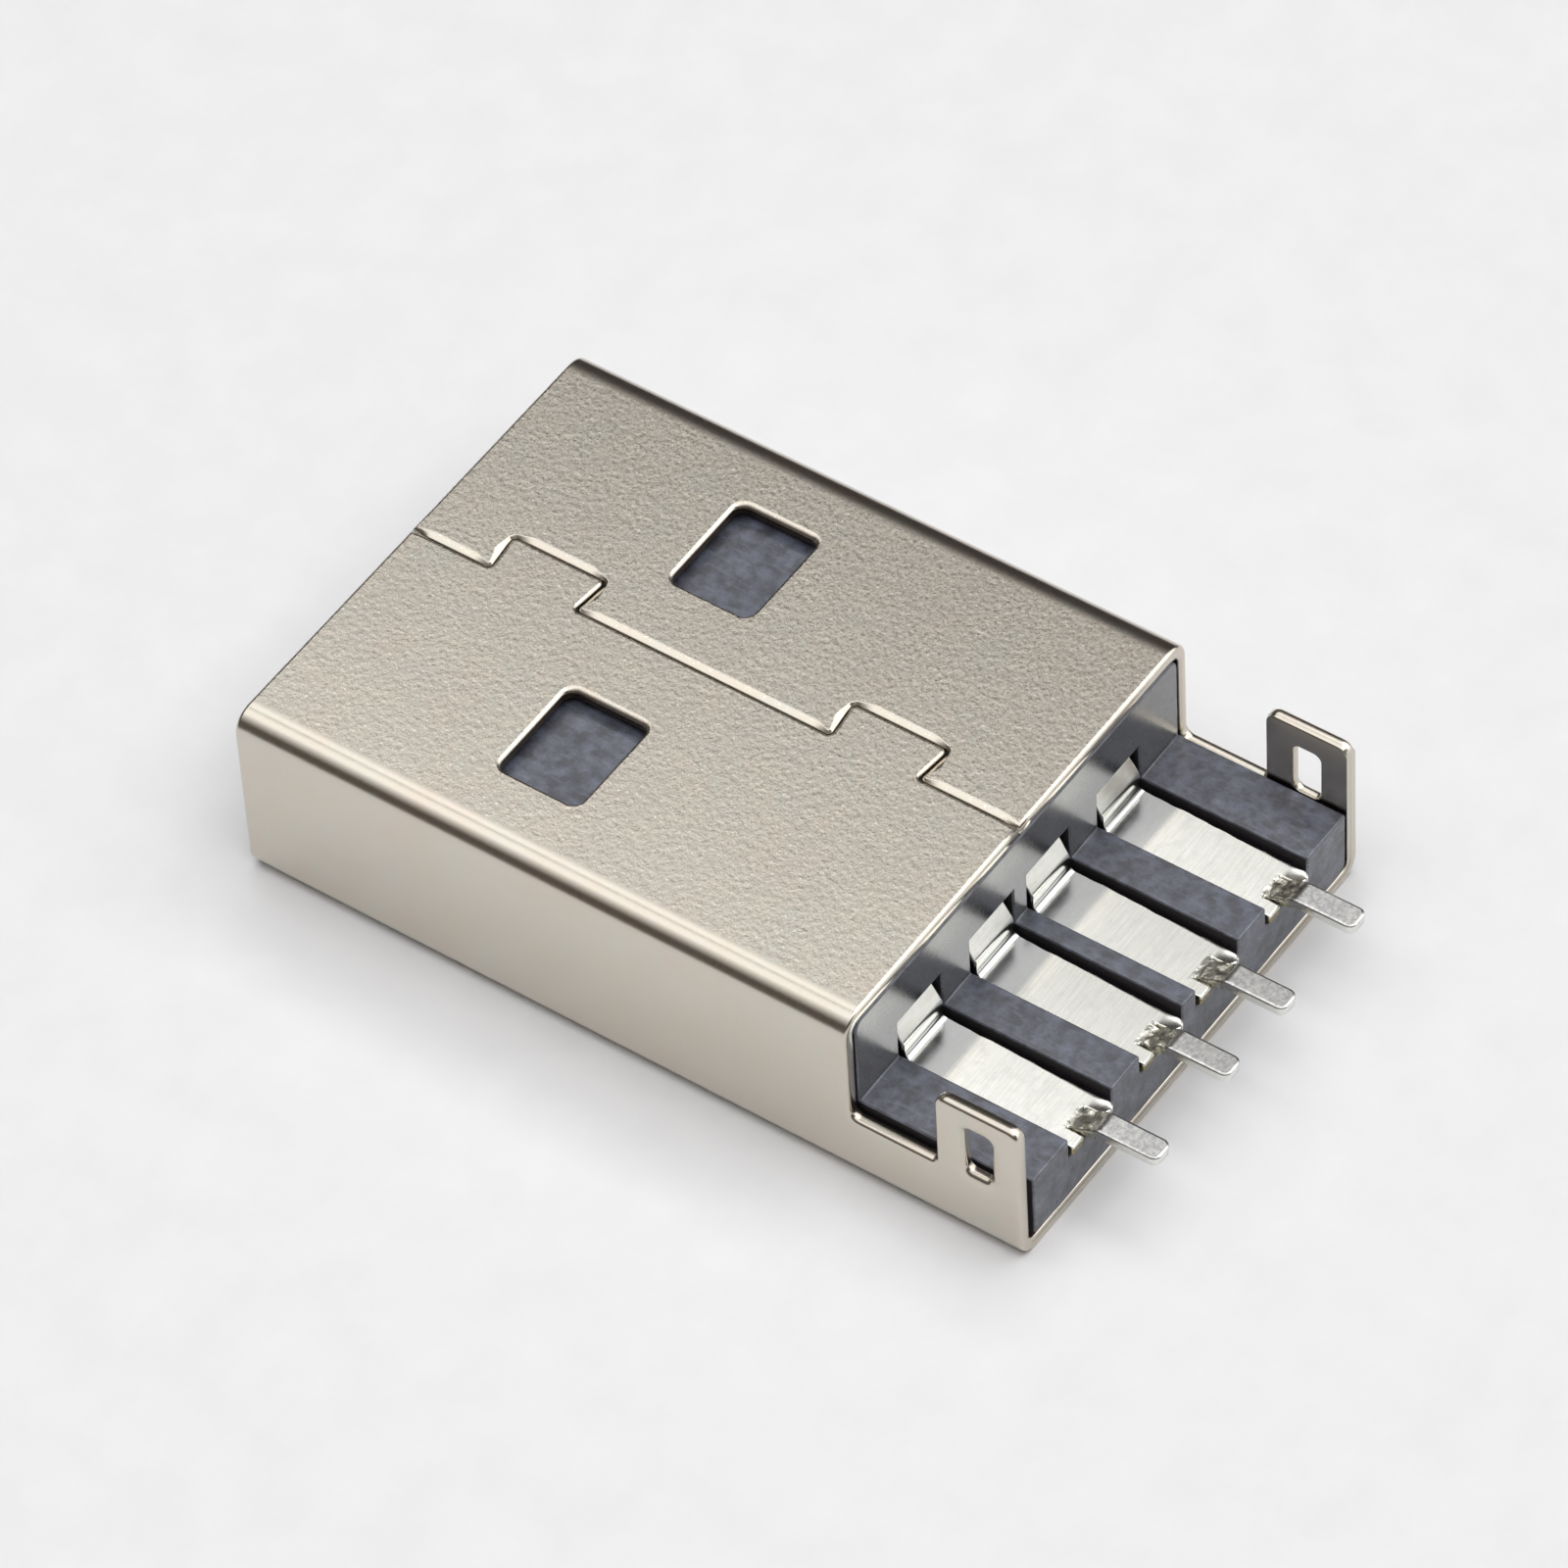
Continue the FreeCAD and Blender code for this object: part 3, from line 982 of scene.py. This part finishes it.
def crushed_ramps(tree, where):
    """Picks the short ramps between each contact's fingers, which the bending tool crushed."""
    way = add(tree, "SeparateXYZ", [where], None)
    # Folding the plug's width three times lays its four contacts on top of each other
    aside = way["X"]
    for middle in (0.0, 2.25, 1.25):
        aside = add(tree, "Math", [aside, middle * MM], operation="SUBTRACT")
        aside = add(tree, "Math", [aside], operation="ABSOLUTE")
    between = add(tree, "MapRange", [aside, tail_half * MM, (tail_half + 0.08) * MM, 1, 0])
    ramp_end = ramp_start + ramp_length
    start = add(tree, "MapRange", [way["Y"], at(ramp_start) * MM, at(ramp_start - 0.2) * MM, 1, 0])
    end = add(tree, "MapRange", [way["Y"], at(ramp_end) * MM, at(ramp_end - 0.15) * MM, 0, 1])
    along = add(tree, "Math", [start, end], operation="MULTIPLY")
    return add(tree, "Math", [between, along], operation="MULTIPLY")


def satin_tin():
    # Bronze strip with a bright satin tin plate. The rollers left faint lines across it, and the
    # tails, which were dipped again, are greyer and mottled
    material, tree, where = start_finish("satin_tin_plate")
    way = add(tree, "SeparateXYZ", [where], None)
    drawn = {"Vector": where, "Scale": (0.06, 1.0, 1.0), "Rotation": (0, 0, roller_slant)}
    lines = add(tree, "TexNoise", patches(add(tree, "Mapping", drawn), 0.05, 0.6))
    pale = add(tree, "MapRange", [lines, 0.35, 0.65, 0, 1])
    cloud = add(tree, "TexNoise", patches(where, 0.25))
    dull = add(tree, "MapRange", [cloud, 0.5, 0.75, 0, 0.25])
    # Up to here the pads are a little greyer: a painted reflection of the dark wall behind the risers
    painted_wall_reflection = add(tree, "MapRange", [way["Y"], at(15.78) * MM, at(15.66) * MM, 0, 0.8])
    below = add(tree, "MapRange", [way["Z"], (base_top - 0.12) * MM, base_top * MM, 1, 0])
    painted_wall_reflection = add(tree, "Math", [painted_wall_reflection, below], operation="MULTIPLY")
    # The dipped tails. Their sides took less of the grey
    mottle = add(tree, "TexNoise", patches(where, 0.09, 0.6))
    share = add(tree, "MapRange", [mottle, 0.35, 0.65, 0, 1])
    grey = add(tree, "Mix", {0: share, 6: colour("bababb"), 7: colour("dededb")}, 2, data_type="RGBA")
    dipped = add(tree, "MapRange", [way["Y"], at(18.95) * MM, at(18.75) * MM, 1, 0])
    upper = add(tree, "MapRange", [way["Z"], (base_top - 0.06) * MM, (base_top - 0.01) * MM, 0.25, 1])
    dipped = add(tree, "Math", [dipped, upper], operation="MULTIPLY")
    # The crushed ramps are blotchy and rougher
    crushed = crushed_ramps(tree, where)
    share = add(tree, "MapRange", [mottle, 0.4, 0.6, 0, 1])
    blotches = add(tree, "Mix", {0: share, 6: colour("c2bfab"), 7: colour("f4f2e8")}, 2, data_type="RGBA")
    tone = colour("e8e8e1")
    layers = ((pale, colour("f2f2ec")), (dull, colour("cfcfca")), (painted_wall_reflection, colour("c2c4c4")))
    for share, over in layers + ((dipped, grey), (crushed, blotches)):
        tone = add(tree, "Mix", {0: share, 6: tone, 7: over}, 2, data_type="RGBA")
    rough = add(tree, "MapRange", [cloud, 0.3, 0.7, 0.17, 0.22])
    rough = add(tree, "Math", [crushed, 0.13, rough], operation="MULTIPLY_ADD")
    bumps = add(tree, "Bump", {"Height": lines, "Distance": 0.0005 * MM, "Strength": 1.0})
    dents = {"Height": mottle, "Distance": 0.025 * MM, "Strength": crushed, "Normal": bumps}
    inputs = {"Base Color": tone, "Metallic": 1.0, "Roughness": rough, "Normal": add(tree, "Bump", dents)}
    shader = add(tree, "BsdfPrincipled", inputs)
    add(tree, "OutputMaterial", {"Surface": shader}, None)
    return material


def bare_bronze():
    # The bronze that shows where the strip was cut after plating
    material, tree, where = start_finish("bare_phosphor_bronze")
    torn = add(tree, "TexNoise", patches(where, 0.07))
    share = add(tree, "MapRange", [torn, 0.35, 0.65, 0, 1])
    tone = add(tree, "Mix", {0: share, 6: colour("6f6138"), 7: colour("c2b487")}, 2, data_type="RGBA")
    bumps = add(tree, "Bump", {"Height": torn, "Distance": 0.006 * MM, "Strength": 1.0})
    inputs = {"Base Color": tone, "Metallic": 1.0, "Roughness": 0.35, "Normal": bumps}
    shader = add(tree, "BsdfPrincipled", inputs)
    add(tree, "OutputMaterial", {"Surface": shader}, None)
    return material


def black_plastic():
    # Glass-filled nylon, moulded in a spark-eroded tool: black with a blue cast, clouded by the glass
    material, tree, where = start_finish("black_moulded_plastic")
    fine = add(tree, "TexNoise", patches(where, 0.05, 0.6, 4.0))
    cloud = add(tree, "TexNoise", patches(where, 0.32, 0.6, 4.0))
    drawn = {"Vector": where, "Scale": (1.0, 0.22, 1.0), "Rotation": (0, 0, flow_slant)}
    streaks = add(tree, "TexNoise", patches(add(tree, "Mapping", drawn), 0.12, 0.6))
    tone = colour("383941")
    layers = [(fine, 0.3, 0.7, 1, "44464f"), (cloud, 0.40, 0.66, 0.8, "656a7a")]
    layers.append((streaks, 0.52, 0.7, 0.5, "6e7280"))
    for pattern, low, high, most, code in layers:
        share = add(tree, "MapRange", [pattern, low, high, 0, most])
        tone = add(tree, "Mix", {0: share, 6: tone, 7: colour(code)}, 2, data_type="RGBA")
    rough = add(tree, "MapRange", [cloud, 0.3, 0.7, 0.38, 0.26])
    bumps = add(tree, "Bump", {"Height": fine, "Distance": 0.003 * MM, "Strength": 1.0})
    bumps = add(tree, "Bump", {"Height": cloud, "Distance": 0.006 * MM, "Strength": 1.0, "Normal": bumps})
    inputs = {"Base Color": tone, "Roughness": rough, "Normal": bumps, "Specular IOR Level": 1.0}
    shader = add(tree, "BsdfPrincipled", inputs)
    add(tree, "OutputMaterial", {"Surface": shader}, None)
    return material


def polished_plastic():
    # The same plastic where the polished core of the tool formed it: the wall behind the risers
    material, tree, where = start_finish("polished_black_plastic")
    cloud = add(tree, "TexNoise", patches(where, 0.5))
    share = add(tree, "MapRange", [cloud, 0.3, 0.7, 0, 1])
    tone = add(tree, "Mix", {0: share, 6: colour("26272c"), 7: colour("32343b")}, 2, data_type="RGBA")
    rough = add(tree, "MapRange", [cloud, 0.3, 0.7, 0.24, 0.3])
    inputs = {"Base Color": tone, "Roughness": rough, "Specular IOR Level": 1.0}
    inputs |= {"Coat Weight": 0.8, "Coat Roughness": 0.22}
    shader = add(tree, "BsdfPrincipled", inputs)
    add(tree, "OutputMaterial", {"Surface": shader}, None)
    return material


def scuffed_and_shaded_plastic():
    # The same plastic on the upright walls that slid out of the tool: matt, and near black as painted shade
    # for the shade in the grooves
    material, tree, where = start_finish("scuffed_plastic_painted_shade")
    drag = add(tree, "Mapping", {"Vector": where, "Scale": (1.0, 1.0, 0.15)})
    lines = add(tree, "TexNoise", patches(drag, 0.05, 0.6))
    share = add(tree, "MapRange", [lines, 0.3, 0.7, 0, 1])
    tone = add(tree, "Mix", {0: share, 6: colour("1d1a1d"), 7: colour("2a272b")}, 2, data_type="RGBA")
    bumps = add(tree, "Bump", {"Height": lines, "Distance": 0.003 * MM, "Strength": 1.0})
    inputs = {"Base Color": tone, "Roughness": 0.6, "Normal": bumps, "Specular IOR Level": 0.3}
    shader = add(tree, "BsdfPrincipled", inputs)
    add(tree, "OutputMaterial", {"Surface": shader}, None)
    return material


def matt_paper():
    # Pale seamless paper
    material, tree, where = start_finish("pale_paper")
    fibre = add(tree, "TexNoise", patches(where, 1.5))
    share = add(tree, "MapRange", [fibre, 0.3, 0.7, 0, 1])
    tone = add(tree, "Mix", {0: share, 6: colour("e3e4e6"), 7: colour("e7e8ea")}, 2, data_type="RGBA")
    shader = add(tree, "BsdfPrincipled", {"Base Color": tone, "Roughness": 0.9})
    add(tree, "OutputMaterial", {"Surface": shader}, None)
    return material


def build():
    """Makes every piece, gives it its finishes, hangs it from the root and hides the imported part that it
    stands for.
    """
    shell_finishes = (satin_nickel(), cut_steel())
    housing_finishes = (black_plastic(), polished_plastic(), scuffed_and_shaded_plastic())
    contact_finishes = (satin_tin(), bare_bronze())
    made = [(make_shell(), "shell", shell_finishes, "shell_plate")]
    made.append((make_housing(), "housing", housing_finishes, "housing_plastic"))
    for contact in contacts:
        made.append((make_contact(*contact), contact[0], contact_finishes, "contact_tin"))
    for piece, node, finishes, slot in made:
        for material in finishes:
            piece.data.materials.append(material)
        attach(piece, "root")
        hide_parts(node)


def light(name, place, size, brightness, tilt=(0, 0, 0), mirrored=True, matt=True):
    """Hangs a soft panel that shines down unless it is tilted: its place and size in metres, and its
    brightness beside that of white paper in full light. It shows in polished faces, lights matt ones,
    or both."""
    data = bpy.data.lights.new(name, "AREA")
    data.shape = "RECTANGLE"
    data.size, data.size_y = size
    data.energy = brightness * math.pi * size[0] * size[1]
    lamp = bpy.data.objects.new(name, data)
    lamp.location = place
    lamp.rotation_euler = tilt
    lamp.visible_glossy = mirrored
    lamp.visible_diffuse = matt
    bpy.context.scene.collection.objects.link(lamp)


def tilt_from(way):
    """Gives the tilt of a panel that hangs out along a way and shines back at the plug."""
    return way.to_track_quat("Z", "Y").to_euler()


def make_room():
    """Makes the room round the plug. Below the paper's edge it is pale. Above that it is dark, and
    darkest on the far side."""
    world = bpy.data.worlds.new("light_tent")
    world.use_nodes = True
    tree = world.node_tree
    tree.nodes.clear()
    way = add(tree, "SeparateXYZ", [add(tree, "TexCoord", output="Generated")], None)
    far = add(tree, "MapRange", [way["X"], -0.2, 0.6, 0, 1])
    dark = add(tree, "Mix", {0: far, 6: colour("5e5650"), 7: colour("3a3532")}, 2, data_type="RGBA")
    above = add(tree, "MapRange", [way["Z"], -0.04, 0.02, 0, 1])
    room = add(tree, "Mix", {0: above, 6: colour("d0cfcd"), 7: dark}, 2, data_type="RGBA")
    background = add(tree, "Background", {"Color": room, "Strength": 1.0})
    add(tree, "OutputWorld", {"Surface": background}, None)
    bpy.context.scene.world = world


def stage():
    """Lays the paper and hangs the panels of a soft studio light."""
    bpy.ops.mesh.primitive_plane_add(size=1.2)
    floor = bpy.context.object
    floor.name = "paper_floor"
    floor.data.materials.append(matt_paper())
    make_room()
    light("far_panel", (0.187, 0.02, 0.40), (0.15, 0.76), 1.73)
    light("near_panel", (-0.034, 0.02, 0.40), (0.232, 0.76), 1.46)
    for x, width, brightness in ((-0.195, 0.09, 0.95), (-0.295, 0.11, 0.50), (-0.425, 0.15, 0.22)):
        light("side_panel", (x, 0.02, 0.40), (width, 0.76), brightness)
    light("fill_panel", (0.0, -0.10, 0.45), (0.60, 0.60), 1.22, mirrored=False)
    # Two panels behind the plug show in its metal alone
    high = Vector((0.53, -0.47, 0.70)).normalized()
    light("back_panel", high * 0.75, (0.72, 0.72), 1.6, tilt_from(high), matt=False)
    low = Vector((0.55, -0.835, 0.0))
    low_place = low * 0.75 + Vector((0, 0, 0.17))
    light("low_back_panel", low_place, (0.9, 0.34), 1.0, tilt_from(low), matt=False)


def camera():
    """Sets up the camera where the photograph was taken from, with a long lens."""
    data = bpy.data.cameras.new("camera")
    data.lens = 239.85
    data.sensor_width = 36
    data.clip_start = 0.01
    data.clip_end = 5
    eye = bpy.data.objects.new("camera", data)
    place = Vector((-108.664, -82.350, 159.101)) * MM
    right = Vector((0.56984, -0.82067, -0.04219))
    down = Vector((-0.63478, -0.40701, -0.65681))
    look = Vector((0.52185, 0.40106, -0.75288))
    turn = Matrix((right, -down, -look)).transposed().to_4x4()
    eye.matrix_world = Matrix.Translation(place) @ turn
    bpy.context.scene.collection.objects.link(eye)
    bpy.context.scene.camera = eye
    bpy.context.scene.view_settings.view_transform = "Standard"


build()
stage()
camera()
